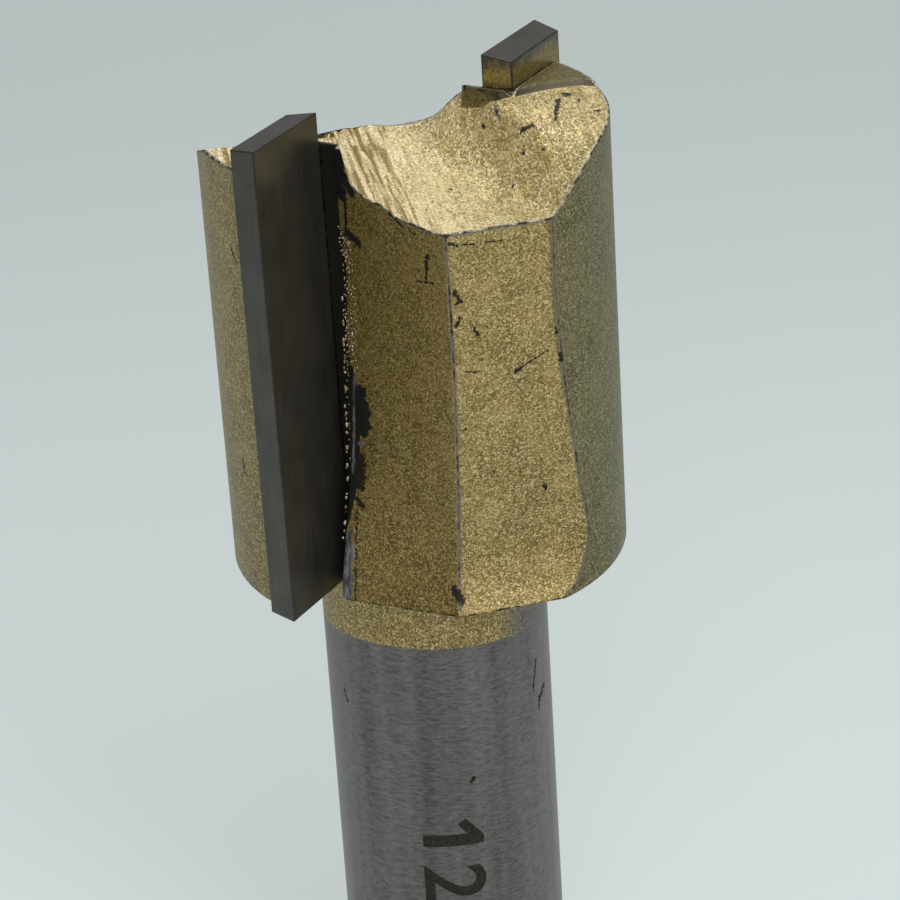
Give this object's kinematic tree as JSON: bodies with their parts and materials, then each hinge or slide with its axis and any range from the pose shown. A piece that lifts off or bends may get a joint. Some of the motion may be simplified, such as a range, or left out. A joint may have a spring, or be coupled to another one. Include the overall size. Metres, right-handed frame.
{
  "type": "router bit",
  "caption": "Straight router bit with a plain round shank, a gold-painted head, flat-sided gullets and brazed carbide tips that stand above a scooped end.",
  "frame": {"origin": "centre of the shank's end face", "axes": "+Z along the turning axis towards the cutting end; the front tip points to -Y and its rake face looks to +X"},
  "size_m": [0.022, 0.0232, 0.065],
  "materials": {
    "cutter_body": "metallic gold paint on the head, bare ground steel on the shank",
    "carbide": "fine ground",
    "braze": "as solidified"
  },
  "bodies": {
    "root": {"cutter_body": "cutter_body", "carbide_tip_front": "carbide", "carbide_tip_back": "carbide", "braze_seam_front": "braze", "braze_seam_back": "braze"}
  },
  "joints": []
}
